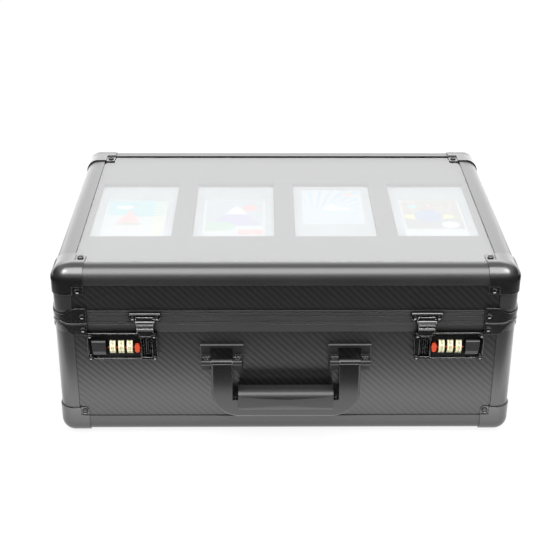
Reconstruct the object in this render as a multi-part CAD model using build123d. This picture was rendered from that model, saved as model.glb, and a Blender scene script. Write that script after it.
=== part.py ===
from build123d import *
import os

os.makedirs("parts", exist_ok=True)

# A hard carry case for trading cards in clear upright holders. Aluminium edge rails hold laminated
# boards, pressed caps cover the corners, and a window in the lid shows four of the holders.
# Millimetres. X is right, Y is back and Z is up. The case is drawn about its middle, with z 0 at the
# underside of its bottom rails, and each piece is moved to the final origin as it is written.

# Case
case_width = 435.4
case_depth = 311.4
case_height = 176.4
lid_height = 55.9
parting_gap = 0.3
edge_radius = 12.0
cut_past = 1.0

# Boards and window
board_thickness = 5.0
board_clearance = 0.1
pane_thickness = 3.0
pane_clearance = 0.1

# Edge rails and corner posts
rail_wall = 1.2
rail_fin = 1.0
fin_setback = 1.0
bottom_rail_leg = 18.7
top_rail_leg = 15.2
window_rail_leg = 19.5
post_leg = 18.2
joint_clearance = 0.1

# Rim rails, where the lid meets the base
base_rim_drop = 7.9
lid_rim_rise = 14.6
tongue_height = 3.5
tongue_wall = 1.2
tongue_clearance = 1.2
roof_clearance = 1.0
lip_depth = 3.4
lip_height = 1.2
flute_depth = 0.4
flute_height = 0.8
lid_flute_rises = (3.0, 8.6, 12.6)

# Corner caps
cap_wall = 1.2
cap_clearance = 0.1
top_cap_reach = (30.0, 35.0, 24.5)
bottom_cap_reach = (27.2, 30.0, 28.5)
top_tab_radius = 1.0
bottom_tab_radius = 4.0

# Corner pieces of the rims
rim_corner_reach = 31.0
rim_corner_round = 1.6
lid_sweep = (7.0, 21.7)
lid_corner_low = 11.1
lid_corner_top = 17.1
lid_rivet_rise = 9.3
lip_stand = 0.4
base_sweep = (4.0, 20.0)
base_corner_drop = 10.8
front_corner_rise = 0.5
rear_corner_drop = 3.0
base_rivet_drop = 4.6
parting_sweep = (4.0, 15.0)
parting_rise = 3.5

# Feet
foot_radius = 3.0
foot_height = 1.6
foot_inset = 15.6

# Rivets
rivet_radius = 3.0
small_rivet_radius = 2.4
rivet_height = 1.3
rivet_sides = 8
rivet_taper = 40

# Lock
latch_setback = 63.8
latch_drop = 13.7
latch_width = 65.2
latch_height = 28.2
latch_stand = 4.0
latch_border = 1.3
latch_corner = 2.0
field_depth = 1.4
lock_case_width = 56.0
lock_case_height = 20.0
lock_case_depth = 12.0
board_hole_clearance = 0.3
latch_rivet_inset = 2.4
latch_boss_radius = 3.0

# Number wheels
wheel_count = 3
wheel_radius = 7.5
wheel_width = 5.2
wheel_pitch = 8.05
wheel_faces = 10
wheel_gap = 0.4
first_wheel_shift = 9.2
wheel_drop = 0.9
axle_radius = 1.2
axle_depth = 0.8
axle_end = 1.6
running_clearance = 0.05

# Release button
button_shift = 22.2
button_drop = 0.8
button_width = 13.2
button_height = 15.2
button_taper = 1.2
button_stand = 3.6
button_slope = 4.3
button_chamfer = 1.0
button_travel = 1.5
stem_width = 5.0
stem_depth = 2.6
slide_clearance = 0.3

# Change lever
lever_shift = 13.9
lever_drop = 1.3
lever_width = 4.6
lever_height = 9.2
lever_stand = 2.3
lever_stem_width = 2.0
lever_stem_height = 4.0
lever_travel = 2.5

# Hook pocket and the notch for the tip of the hasp
pocket_setback = 4.8
pocket_width = 9.6
pocket_height = 21.2
pocket_wall = 1.1
pocket_depth = 2.8
pocket_rib = 0.9
pocket_rib_pitch = 2.2
pocket_rib_count = 4
pocket_rib_height = 1.0
notch_clearance = 0.4

# Hasp
hasp_shift = 21.9
hasp_width = 15.6
hasp_axis_rise = 4.0
hasp_axis_out = 3.9
hasp_barrel_radius = 2.0
hasp_plate = 1.6
hasp_plate_offset = 0.3
hasp_length = 14.6
hasp_tip_width = 9.8
hasp_taper = 4.0
hasp_ridge_radius = 1.2
hasp_ridge_drops = (3.2, 7.4)
hasp_nose_height = 1.6
hasp_nose_depth = 1.2
hasp_pin_radius = 0.9
mount_half_width = 14.2
mount_plate = 1.4
mount_top_rise = 12.8
mount_strip_height = 4.2
mount_lobe_radius = 3.3
mount_rivet_x = 11.3
mount_rivet_rise = 7.9
mount_bead_radius = 1.2
mount_web_drop = 1.0
mount_ear = 1.0
mount_ear_radius = 1.8
mount_ear_gap = 0.2

# Handle brackets
bracket_drop = 13.3
bracket_height = 28.3
bracket_half_top = 20.8
bracket_half_bottom = 19.6
bracket_plate = 2.8
bracket_edge = 0.8
bracket_bridge = 4.1
ear_width = 8.8
ear_radius = 3.5
ear_seat = 2.7
ear_root_drop = 22.3
screw_radius = 3.7
screw_height = 1.1
screw_slot = 1.0
screw_slot_depth = 0.5
screw_out = 8.0

# Handle
handle_axis_out = 11.2
handle_axis_drop = 13.5
handle_pin_radius = 1.9
handle_arm_width = 19.9
handle_side_clearance = 0.35
handle_depth = 8.2
handle_barrel_radius = 3.6
handle_shoulder = 1.2
handle_length = 58.4
handle_corner_radius = 27.0
handle_bar_height = 9.0
handle_seat_height = 18.6
handle_edge = 1.6
grip_length = 90.4
grip_seat = 5.45
grip_height = 22.4
grip_depth = 19.5
grip_swell = 1.4
grip_radius = 8.0
grip_out = 12.2
grip_screw_radius = 1.9
grip_screw_height = 1.5

# Hinges
hinge_setback = 97.7
hinge_length = 48.0
hinge_axis_out = 3.5
hinge_barrel_radius = 2.9
hinge_pin_radius = 1.5
hinge_leaf = 1.2
hinge_leaf_root = 2.2
hinge_lid_leaf_height = 13.0
hinge_base_leaf_height = 11.3
hinge_gap = 0.3
hinge_rivet_pitch = 16.0

# Card holders and foam
holder_width = 81.0
holder_length = 134.9
holder_count = 4
row_margin = 14.1
row_play = 3.0
holder_back = 3.5
holder_cover = 2.8
holder_corner = 3.0
holder_below_pane = 2.2
card_width = 63.5
card_length = 88.9
card_thickness = 0.5
card_shift = 14.0
turned_holder = 2
card_pocket_clearance = 0.3
foam_clearance = 0.2
tray_height = 21.0
holder_clearance = 0.5
end_strip = 10.2
floor_pad = 3.0
foam_drop = 4.5
lock_pocket_clearance = 0.6

# Places that follow from the sizes above
half_width = case_width / 2
half_depth = case_depth / 2
board_slot = board_thickness + board_clearance
pane_slot = pane_thickness + pane_clearance
frame_inset = rail_wall + board_slot + rail_fin
parting_height = case_height - lid_height
lid_bottom = parting_height + parting_gap
lid_rim_top = parting_height + lid_rim_rise
base_rim_bottom = parting_height - base_rim_drop
rim_roof_bottom = parting_height + tongue_height + roof_clearance
rim_roof_top = rim_roof_bottom + rail_fin
pane_top = case_height - rail_wall
pane_bottom = pane_top - pane_thickness
latch_x = half_width - latch_setback
latch_z = base_rim_bottom - latch_drop
first_wheel_x = latch_x + first_wheel_shift
wheel_z = latch_z - wheel_drop
button_x = latch_x + button_shift
button_z = latch_z - button_drop
lever_x = latch_x - lever_shift
lever_z = latch_z - lever_drop
hasp_x = latch_x - hasp_shift
bracket_x = grip_length / 2 + grip_seat + handle_arm_width / 2
bracket_top = base_rim_bottom - bracket_drop
bracket_bottom = bracket_top - bracket_height
ear_root = bracket_top - ear_root_drop
handle_axis_z = bracket_top - handle_axis_drop
handle_bottom = handle_axis_z - handle_length
hinge_x = half_width - hinge_setback
holder_pitch = (case_width - 2 * row_margin) / holder_count
row_width = holder_width + row_play
foam_half_width = half_width - frame_inset - foam_clearance
foam_half_depth = half_depth - frame_inset - foam_clearance
row_length = 2 * (foam_half_depth - end_strip)
foam_top = parting_height - foam_drop
front_reach = grip_out + (grip_depth + grip_swell) / 2
rear_reach = hinge_axis_out + hinge_barrel_radius
foot_drop = cap_clearance + cap_wall + foot_height
final_origin = Pos(0, (front_reach - rear_reach) / 2, foot_drop)
to_front = Pos(0, -half_depth, 0)
to_rear = Pos(0, half_depth, 0)
to_left = Pos(-half_width, 0, 0)
to_front_corner = Pos(-half_width, -half_depth, 0)

nodes = {}


def block(x0, x1, y0, y1, z0, z1):
    """Box between two corners."""
    return Pos((x0 + x1) / 2, (y0 + y1) / 2, (z0 + z1) / 2) * Box(x1 - x0, y1 - y0, z1 - z0)


def rod(radius, length, x, y, z):
    """Cylinder along X, centred on the point."""
    return Pos(x, y, z) * Rot(0, 90, 0) * Cylinder(radius, length)


def left_and_right(shapes):
    """The shapes and their mirror images across the case's middle."""
    return shapes + [mirror(shape, about=Plane.YZ) for shape in shapes]


def front_and_rear(shapes):
    """The shapes and their mirror images across the middle of the case's depth."""
    return shapes + [mirror(shape, about=Plane.XZ) for shape in shapes]


def to_lid_top(shapes):
    """Shapes drawn at the bottom edges, turned over onto the lid's top edges."""
    return [Pos(0, 0, case_height) * mirror(shape, about=Plane.XY) for shape in shapes]


def facing(direction, x, y, z):
    """Place for a piece drawn on the XY plane, so that its +Z points along direction."""
    return Plane(origin=(x, y, z), z_dir=direction).location


def rivet(radius):
    """Head with a sloping side that stands on the XY plane."""
    return extrude(RegularPolygon(radius, rivet_sides), rivet_height, taper=rivet_taper)


# Edge rails


def leg_slot(leg, slot):
    """Fin and end stop that hold a board's edge behind the leg that runs along x."""
    start = edge_radius - rail_fin
    fin = Pos(start, rail_wall + slot) * Rectangle(leg - fin_setback - start, rail_fin, align=Align.MIN)
    stop_height = rail_wall / 2 + slot + rail_fin
    return fin + Pos(start, rail_wall / 2) * Rectangle(rail_fin, stop_height, align=Align.MIN)


def rounded_angle(leg_x, leg_y, inset):
    """Rectangle from the case's edge to the ends of both legs, rounded at the case's edge."""
    form = Pos(inset, inset) * Rectangle(leg_x - inset, leg_y - inset, align=Align.MIN)
    return fillet(form.vertices().sort_by_distance((0, 0))[0], edge_radius - inset)


def rail_section(leg_x, leg_y, slot_x, slot_y):
    """Rail in section: the case's edge is at the origin, and a board slides in behind each leg."""
    skin = rounded_angle(leg_x, leg_y, 0) - rounded_angle(leg_x, leg_y, rail_wall)
    upright_slot = mirror(leg_slot(leg_y, slot_y), about=Plane(origin=(0, 0), z_dir=(1, -1, 0)))
    return skin + leg_slot(leg_x, slot_x) + upright_slot


def mitred(piece, along_x):
    """The part of a front or left rail that lies inside its two mitres."""
    reach = edge_radius + 2 * max(window_rail_leg, bottom_rail_leg)
    corner, inner = (-half_width, -half_depth), (-half_width + reach, -half_depth + reach)
    if along_x:
        outline = Polygon(corner, (-corner[0], corner[1]), (-inner[0], inner[1]), inner, align=None)
    else:
        outline = Polygon(corner, inner, (inner[0], -inner[1]), (corner[0], -corner[1]), align=None)
    return piece & extrude(outline, case_height, both=True)


def edge_rails(face_leg, level_leg, level_slot):
    """Four rails round the bottom edges, mitred where their level legs meet."""
    section = rail_section(level_leg, face_leg, level_slot, board_slot)
    front_plane = Plane(origin=(-half_width + edge_radius, -half_depth, 0), x_dir=(0, 1, 0), z_dir=(1, 0, 0))
    side_plane = Plane(origin=(-half_width, half_depth - edge_radius, 0), x_dir=(1, 0, 0), z_dir=(0, -1, 0))
    front = mitred(extrude(front_plane * section, case_width - 2 * edge_radius), True)
    side = mitred(extrude(side_plane * section, case_depth - 2 * edge_radius), False)
    return front_and_rear([front]) + left_and_right([side])


def corner_posts(bottom, top):
    """Upright rails at the four corners."""
    section = rail_section(post_leg, post_leg, board_slot, board_slot)
    post = extrude(Pos(-half_width, -half_depth, bottom) * section, top - bottom)
    return left_and_right(front_and_rear([post]))


nodes["base_bottom_rails"] = edge_rails(bottom_rail_leg, bottom_rail_leg, board_slot)
nodes["lid_top_rails"] = to_lid_top(edge_rails(top_rail_leg, window_rail_leg, pane_slot))
nodes["base_corner_posts"] = corner_posts(bottom_rail_leg + joint_clearance, base_rim_bottom - joint_clearance)
nodes["lid_corner_posts"] = corner_posts(
    lid_rim_top + joint_clearance, case_height - top_rail_leg - joint_clearance
)

# Rims


def plan_ring(outer_inset, inner_inset, bottom, top):
    """Closed band round the case, between two distances in from its faces."""
    outer = RectangleRounded(
        case_width - 2 * outer_inset, case_depth - 2 * outer_inset, edge_radius - outer_inset
    )
    inner = RectangleRounded(
        case_width - 2 * inner_inset, case_depth - 2 * inner_inset, edge_radius - inner_inset
    )
    return extrude(Pos(0, 0, bottom) * (outer - inner), top - bottom)


def rim_rails(ring):
    """A rim's four rails, cut from the closed band at its mitres."""
    return front_and_rear([mitred(ring, True)]) + left_and_right([mitred(ring, False)])


fin_outer = rail_wall + board_slot
tongue_inner = fin_outer - tongue_clearance
base_rim = plan_ring(0, rail_wall, base_rim_bottom, parting_height)
base_rim += plan_ring(rail_wall / 2, frame_inset, parting_height - rail_fin, parting_height)
base_rim += plan_ring(fin_outer, frame_inset, base_rim_bottom, parting_height)
base_rim += plan_ring(
    tongue_inner - tongue_wall, tongue_inner, parting_height - rail_fin, parting_height + tongue_height
)
nodes["base_rim_rails"] = rim_rails(base_rim)

lid_rim = plan_ring(0, rail_wall, lid_bottom, lid_rim_top)
lid_rim += plan_ring(0, lip_depth, lid_bottom, lid_bottom + lip_height)
lid_rim += plan_ring(rail_wall / 2, frame_inset, rim_roof_bottom, rim_roof_top)
lid_rim += plan_ring(fin_outer, frame_inset, lid_bottom, lid_rim_top - fin_setback)
board_half_width = half_width - edge_radius
board_half_depth = half_depth - edge_radius
for rise in lid_flute_rises:
    bottom = parting_height + rise - flute_height / 2
    top = bottom + flute_height
    front_flute = block(-board_half_width, board_half_width, 0, flute_depth, bottom, top)
    side_flute = block(0, flute_depth, -board_half_depth, board_half_depth, bottom, top)
    for flute in front_and_rear([to_front * front_flute]) + left_and_right([to_left * side_flute]):
        lid_rim -= flute
nodes["lid_rim_rails"] = rim_rails(lid_rim)

# Boards

board_back = rail_wall + board_thickness
base_board_top = parting_height - rail_fin


def upright_boards(bottom, top):
    """Front and left board between two heights."""
    front = block(-board_half_width, board_half_width, rail_wall, board_back, bottom, top)
    side = block(rail_wall, board_back, -board_half_depth, board_half_depth, bottom, top)
    return to_front * front, to_left * side


lock_case_y = rail_wall
lock_hole = block(
    latch_x - lock_case_width / 2 - board_hole_clearance,
    latch_x + lock_case_width / 2 + board_hole_clearance,
    0,
    board_back + cut_past,
    latch_z - lock_case_height / 2 - board_hole_clearance,
    latch_z + lock_case_height / 2 + board_hole_clearance,
)
front_board, side_board = upright_boards(edge_radius, base_board_top)
rear_board = mirror(front_board, about=Plane.XZ)
for hole in left_and_right([to_front * lock_hole]):
    front_board -= hole
nodes["base_front_board"] = [front_board]
nodes["base_rear_board"] = [rear_board]
nodes["base_left_board"] = [side_board]
nodes["base_right_board"] = [mirror(side_board, about=Plane.YZ)]
nodes["base_floor_board"] = [
    block(-board_half_width, board_half_width, -board_half_depth, board_half_depth, rail_wall, board_back)
]

front_board, side_board = upright_boards(rim_roof_top, case_height - edge_radius)
nodes["lid_front_board"] = [front_board]
nodes["lid_rear_board"] = [mirror(front_board, about=Plane.XZ)]
nodes["lid_left_board"] = [side_board]
nodes["lid_right_board"] = [mirror(side_board, about=Plane.YZ)]
nodes["window_pane"] = [
    block(-board_half_width, board_half_width, -board_half_depth, board_half_depth, pane_bottom, pane_top)
]

# Corner caps

swap_yz = Plane(origin=(0, 0, 0), z_dir=(0, 1, -1))
swap_xz = Plane(origin=(0, 0, 0), z_dir=(1, 0, -1))
tab_depth = rail_wall - cap_wall


def corner_form(grow, size):
    """Block whose near corner is rounded as the case's corner is, grown outwards."""
    form = Pos(-grow, -grow, -grow) * Box(size, size, size, align=Align.MIN)
    return fillet(form.edges().sort_by_distance((-grow, -grow, -grow))[:3], edge_radius + grow)


def tab_window(leg_x, leg_y, reach):
    """Space beyond both rails' legs on the level face, where a cap steps down onto the board."""
    return block(
        leg_x + joint_clearance, reach, leg_y + joint_clearance, reach, -2 * cap_wall, rail_wall + cap_wall
    )


def tab(leg_x, leg_y, reach_x, reach_y, corner):
    """Rivet tab on the level face: a plate on the board, with a step up to the cap round two sides."""
    x0, y0 = leg_x + joint_clearance, leg_y + joint_clearance
    top = -cap_clearance - cap_wall
    form = block(x0, reach_x, y0, reach_y, top, rail_wall)
    form -= block(x0 + cap_wall, reach_x, y0 + cap_wall, reach_y, top, tab_depth)
    outer = form.edges().filter_by(Axis.Z).sort_by_distance((reach_x, reach_y, rail_wall))[0]
    return fillet(outer, corner)


def corner_cap(reach, face_leg, level_leg, corner):
    """Pressed cap over one bottom corner, with the case's corner at the origin, and its rivets."""
    reach_x, reach_y, reach_z = reach
    size = 2 * max(reach)
    shell = corner_form(cap_clearance + cap_wall, size) - corner_form(cap_clearance, size)
    shell &= block(-size, reach_x, -size, reach_y, -size, reach_z)
    shell -= tab_window(level_leg, level_leg, size)
    shell -= mirror(tab_window(post_leg, face_leg, size), about=swap_yz)
    shell -= mirror(tab_window(face_leg, post_leg, size), about=swap_xz)
    shell += tab(level_leg, level_leg, reach_x, reach_y, corner)
    shell += mirror(tab(post_leg, face_leg, reach_x, reach_z, corner), about=swap_yz)
    shell += mirror(tab(face_leg, post_leg, reach_z, reach_y, corner), about=swap_xz)
    level_x, level_y = (level_leg + cap_wall + reach_x) / 2, (level_leg + cap_wall + reach_y) / 2
    face_x, face_y = (post_leg + cap_wall + reach_x) / 2, (post_leg + cap_wall + reach_y) / 2
    face_z = (face_leg + cap_wall + reach_z) / 2
    head = rivet(rivet_radius)
    heads = [
        facing((0, 0, -1), level_x, level_y, tab_depth) * head,
        facing((0, -1, 0), face_x, tab_depth, face_z) * head,
        facing((-1, 0, 0), tab_depth, face_y, face_z) * head,
    ]
    return [shell], heads


def at_corners(shapes):
    """Shapes drawn about the front left corner, copied to all four."""
    return left_and_right(front_and_rear([to_front_corner * shape for shape in shapes]))


caps, cap_rivets = corner_cap(bottom_cap_reach, bottom_rail_leg, bottom_rail_leg, bottom_tab_radius)
nodes["base_corner_caps"] = at_corners(caps)
base_rivets = at_corners(cap_rivets)
caps, cap_rivets = corner_cap(top_cap_reach, top_rail_leg, window_rail_leg, top_tab_radius)
nodes["lid_corner_caps"] = to_lid_top(at_corners(caps))
lid_rivets = to_lid_top(at_corners(cap_rivets))

foot = Pos(foot_inset, foot_inset, -foot_drop) * Cylinder(foot_radius, foot_height, align=Align.MIN)
foot = Pos(-foot_radius, -foot_radius) * foot
nodes["base_feet"] = at_corners([foot])

# Corner pieces of the rims

rim_corner_out = cap_clearance + cap_wall
swap_xy = Plane(origin=(0, 0, 0), z_dir=(1, -1, 0))


def sweep_cut(sweep, near_z, far_z, limit):
    """Space between a level and a line that sweeps, along both faces, from one height to another."""
    start, end = sweep
    far = 2 * rim_corner_reach
    curve = Spline((start, near_z), (end, far_z), tangents=((1, 0), (1, 0)))
    rest = Polyline(
        (end, far_z), (far, far_z), (far, limit), (-edge_radius, limit), (-edge_radius, near_z), (start, near_z)
    )
    outline = make_face(curve.edges() + rest.edges())
    cut_plane = Plane(origin=(0, start, 0), x_dir=(1, 0, 0), z_dir=(0, -1, 0))
    face_cut = extrude(cut_plane * outline, start + edge_radius, dir=(0, -1, 0))
    return to_front_corner * face_cut + to_front_corner * mirror(face_cut, about=swap_xy)


def corner_band(stand, bottom, top):
    """Band round the front left corner, as far along both faces as the corner pieces reach."""
    reach = rim_corner_reach
    return plan_ring(-stand, -cap_clearance, bottom, top) & to_front_corner * block(
        -reach, reach, -reach, reach, bottom, top
    )


def rim_corner_rivets(rivet_z):
    """Rivet heads of a rim's four corner pieces."""
    rivet_x = rim_corner_reach - rivet_radius - cap_wall / 2
    head = rivet(rivet_radius)
    return at_corners(
        [
            facing((0, -1, 0), rivet_x, -rim_corner_out, rivet_z) * head,
            facing((-1, 0, 0), -rim_corner_out, rivet_x, rivet_z) * head,
        ]
    )


lid_corner_z = parting_height + lid_corner_top
lip_top = lid_bottom + lip_height
over_all = parting_height + 2 * lid_corner_top
under_all = parting_height - 2 * base_corner_drop
lid_piece = corner_band(rim_corner_out, lid_bottom, lid_corner_z)
lid_piece -= sweep_cut(lid_sweep, parting_height + lid_corner_low, lid_corner_z, over_all)
wall_middle = cap_clearance + cap_wall / 2
for end_x, end_y in ((rim_corner_reach, -wall_middle), (-wall_middle, rim_corner_reach)):
    end_place = (end_x - half_width, end_y - half_depth, lid_corner_z)
    lid_piece = fillet(lid_piece.edges().sort_by_distance(end_place)[0], rim_corner_round)
lip = corner_band(rim_corner_out + lip_stand, lid_bottom, lip_top + parting_rise)
front_lip = lip - sweep_cut(parting_sweep, lip_top + parting_rise, lip_top, over_all)
rear_lip = corner_band(rim_corner_out + lip_stand, lid_bottom, lip_top)
lid_front_piece = lid_piece + front_lip
lid_front_piece -= sweep_cut(parting_sweep, lid_bottom + parting_rise, lid_bottom, under_all)
lid_rear_piece = mirror(lid_piece + rear_lip, about=Plane.XZ)
nodes["lid_rim_corners"] = left_and_right([lid_front_piece, lid_rear_piece])
lid_rivets += rim_corner_rivets(parting_height + lid_rivet_rise)

base_corner_z = parting_height - base_corner_drop
base_front_piece = corner_band(rim_corner_out, base_corner_z, parting_height + parting_rise)
base_front_piece -= sweep_cut(parting_sweep, parting_height + parting_rise, parting_height, over_all)
base_front_piece -= sweep_cut(base_sweep, parting_height + front_corner_rise, base_corner_z, under_all)
base_rear_piece = corner_band(rim_corner_out, base_corner_z, parting_height)
base_rear_piece -= sweep_cut(base_sweep, parting_height - rear_corner_drop, base_corner_z, under_all)
nodes["base_rim_corners"] = left_and_right([base_front_piece, mirror(base_rear_piece, about=Plane.XZ)])
base_rivets += rim_corner_rivets(parting_height - base_rivet_drop)

# Locks, drawn for the right side with the case's front face at y 0

plate_left, plate_right = latch_x - latch_width / 2, latch_x + latch_width / 2
plate_bottom, plate_top = latch_z - latch_height / 2, latch_z + latch_height / 2
field_y = -latch_stand + field_depth
wheel_xs = [first_wheel_x - index * wheel_pitch for index in range(wheel_count)]
hasp_axis_z = parting_height + hasp_axis_rise
hasp_tip_z = hasp_axis_z - hasp_length
pocket_top = hasp_tip_z - notch_clearance - pocket_wall
pocket_left = plate_left + pocket_setback
field_left = pocket_left + pocket_width + pocket_wall


def front_outline(points, y_back, y_front):
    """Solid with an outline drawn in X and Z, between two depths."""
    outline_plane = Plane(origin=(0, y_back, 0), x_dir=(1, 0, 0), z_dir=(0, -1, 0))
    return extrude(outline_plane * Polygon(*points, align=None), y_back - y_front, dir=(0, -1, 0))


def side_outline(outline, x, length):
    """Solid with an outline drawn in Y and Z, from x to the right."""
    outline_plane = Plane(origin=(x, 0, 0), x_dir=(0, 1, 0), z_dir=(1, 0, 0))
    return extrude(outline_plane * outline, length, dir=(1, 0, 0))


def tip_outline(clearance):
    """Outline of the tapered tip of the hasp, with room round it."""
    tip_z = hasp_tip_z - clearance
    wide, narrow = hasp_width / 2 + clearance, hasp_tip_width / 2 + clearance
    return (
        (hasp_x - narrow, tip_z),
        (hasp_x + narrow, tip_z),
        (hasp_x + wide, tip_z + hasp_taper),
        (hasp_x + wide, hasp_axis_z),
        (hasp_x - wide, hasp_axis_z),
        (hasp_x - wide, tip_z + hasp_taper),
    )


def lock_field():
    """Sunk field of the lock plate, round the corner bosses and the notch."""
    left, right = field_left, plate_right - latch_border
    bottom, top = plate_bottom + latch_border, plate_top - latch_border
    points = (
        (left, bottom),
        (right, bottom),
        (right, top),
        (left + pocket_wall + top - pocket_top, top),
        (left + pocket_wall, pocket_top),
        (left, pocket_top),
    )
    field = front_outline(points, field_y, -latch_stand - cut_past)
    for z in (plate_bottom + latch_rivet_inset, plate_top - latch_rivet_inset):
        boss = Pos(plate_right - latch_rivet_inset, -latch_stand, z) * Rot(90, 0, 0)
        field -= boss * Cylinder(latch_boss_radius, 2 * latch_stand)
    return field


def hook_pocket():
    """Ribbed pocket under the notch."""
    pocket = block(
        pocket_left,
        pocket_left + pocket_width,
        -latch_stand - cut_past,
        -latch_stand + pocket_depth,
        pocket_top - pocket_height,
        pocket_top,
    )
    for index in range(pocket_rib_count):
        x = pocket_left + pocket_width / 2 + (index - (pocket_rib_count - 1) / 2) * pocket_rib_pitch
        back = -latch_stand + pocket_depth
        pocket -= block(
            x - pocket_rib / 2,
            x + pocket_rib / 2,
            back - pocket_rib_height,
            back,
            pocket_top - pocket_height,
            pocket_top,
        )
    return pocket


def lock_housing():
    """Lock plate and the case behind it, open for the wheels, the button, the lever and the hasp."""
    plate_plane = Plane(origin=(latch_x, rail_wall, latch_z), x_dir=(1, 0, 0), z_dir=(0, -1, 0))
    plate = extrude(
        plate_plane * RectangleRounded(latch_width, latch_height, latch_corner), rail_wall + latch_stand
    )
    plate -= block(plate_left, plate_right, 0, rail_wall, base_rim_bottom - joint_clearance, plate_top)
    case = block(
        latch_x - lock_case_width / 2,
        latch_x + lock_case_width / 2,
        rail_wall,
        rail_wall + lock_case_depth,
        latch_z - lock_case_height / 2,
        latch_z + lock_case_height / 2,
    )
    housing = plate + case - lock_field() - hook_pocket()
    housing -= front_outline(tip_outline(notch_clearance), -hasp_plate / 2, -latch_stand - cut_past)
    for x in wheel_xs:
        housing -= rod(wheel_radius + wheel_gap, wheel_width + 2 * wheel_gap, x, axle_depth, wheel_z)
    bore_length = wheel_xs[0] - wheel_xs[-1] + wheel_width + 2 * (wheel_gap + axle_end)
    bore_x = (wheel_xs[0] + wheel_xs[-1]) / 2
    housing -= rod(axle_radius + running_clearance, bore_length, bore_x, axle_depth, wheel_z)
    housing -= block(
        button_x - stem_width / 2 - slide_clearance,
        button_x + stem_width / 2 + button_travel + slide_clearance,
        -latch_stand,
        field_y + stem_depth + slide_clearance,
        button_z - stem_width / 2 - slide_clearance,
        button_z + stem_width / 2 + slide_clearance,
    )
    housing -= block(
        lever_x - lever_stem_width / 2 - slide_clearance,
        lever_x + lever_stem_width / 2 + slide_clearance,
        -latch_stand,
        field_y + stem_depth + slide_clearance,
        lever_z - lever_stem_height / 2 - lever_travel - slide_clearance,
        lever_z + lever_stem_height / 2 + slide_clearance,
    )
    return housing


def lock_rivets():
    """Rivet heads at the plate's corners."""
    head = rivet(small_rivet_radius)
    return [
        facing((0, -1, 0), x, -latch_stand, z) * head
        for x in (plate_left + latch_rivet_inset, plate_right - latch_rivet_inset)
        for z in (plate_bottom + latch_rivet_inset, plate_top - latch_rivet_inset)
    ]


def number_wheel(x):
    """Ten-sided wheel with a bore for the axle."""
    wheel_plane = Plane(origin=(x - wheel_width / 2, axle_depth, wheel_z), x_dir=(0, 1, 0), z_dir=(1, 0, 0))
    face_turn = Rot(0, 0, 180 / wheel_faces)
    wheel = extrude(wheel_plane * face_turn * RegularPolygon(wheel_radius, wheel_faces), wheel_width)
    return wheel - rod(axle_radius + running_clearance, wheel_width, x, axle_depth, wheel_z)


def lock_axle():
    """Axle of the number wheels."""
    length = wheel_xs[0] - wheel_xs[-1] + wheel_width + 2 * wheel_gap + axle_end
    return rod(axle_radius, length, (wheel_xs[0] + wheel_xs[-1]) / 2, axle_depth, wheel_z)


def release_button():
    """Sliding button: a tapered block with a sloping lower face, on a stem in its slot."""
    left, right = button_x - button_width / 2, button_x + button_width / 2
    bottom, top = button_z - button_height / 2, button_z + button_height / 2
    back = field_y - slide_clearance
    front = back - button_stand
    outline = ((left, bottom), (right - button_taper, bottom), (right, top), (left, top))
    side = Polygon(
        (back, bottom),
        (front + button_stand / 2, bottom),
        (front, bottom + button_slope),
        (front, top - button_chamfer),
        (front + button_chamfer, top),
        (back, top),
        align=None,
    )
    body = front_outline(outline, back, front) & side_outline(side, left, button_width)
    stem = block(
        button_x - stem_width / 2,
        button_x + stem_width / 2,
        back,
        field_y + stem_depth,
        button_z - stem_width / 2,
        button_z + stem_width / 2,
    )
    return body + stem


def change_lever():
    """Small upright lever on a stem in its slot."""
    back = field_y - slide_clearance
    lever_plane = Plane(origin=(lever_x, back, lever_z), x_dir=(0, 0, 1), z_dir=(0, -1, 0))
    knob = extrude(lever_plane * SlotOverall(lever_height, lever_width), lever_stand)
    stem = block(
        lever_x - lever_stem_width / 2,
        lever_x + lever_stem_width / 2,
        back,
        field_y + stem_depth,
        lever_z - lever_stem_height / 2,
        lever_z + lever_stem_height / 2,
    )
    return knob + stem


def hasp():
    """Hinged hasp: a barrel, a ridged plate with a tapered tip, and a nose behind the tip."""
    plate_front = -hasp_axis_out - hasp_plate / 2 + hasp_plate_offset
    plate_back = plate_front + hasp_plate
    profile = front_outline(tip_outline(0), plate_back, plate_front)
    for drop in hasp_ridge_drops:
        profile += rod(hasp_ridge_radius, hasp_width, hasp_x, plate_front, hasp_axis_z - drop)
    profile += rod(hasp_barrel_radius, hasp_width, hasp_x, -hasp_axis_out, hasp_axis_z)
    profile += block(
        hasp_x - hasp_tip_width / 2,
        hasp_x + hasp_tip_width / 2,
        plate_back,
        plate_back + hasp_nose_depth,
        hasp_tip_z,
        hasp_tip_z + hasp_nose_height,
    )
    return profile - rod(hasp_pin_radius + running_clearance, hasp_width, hasp_x, -hasp_axis_out, hasp_axis_z)


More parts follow.
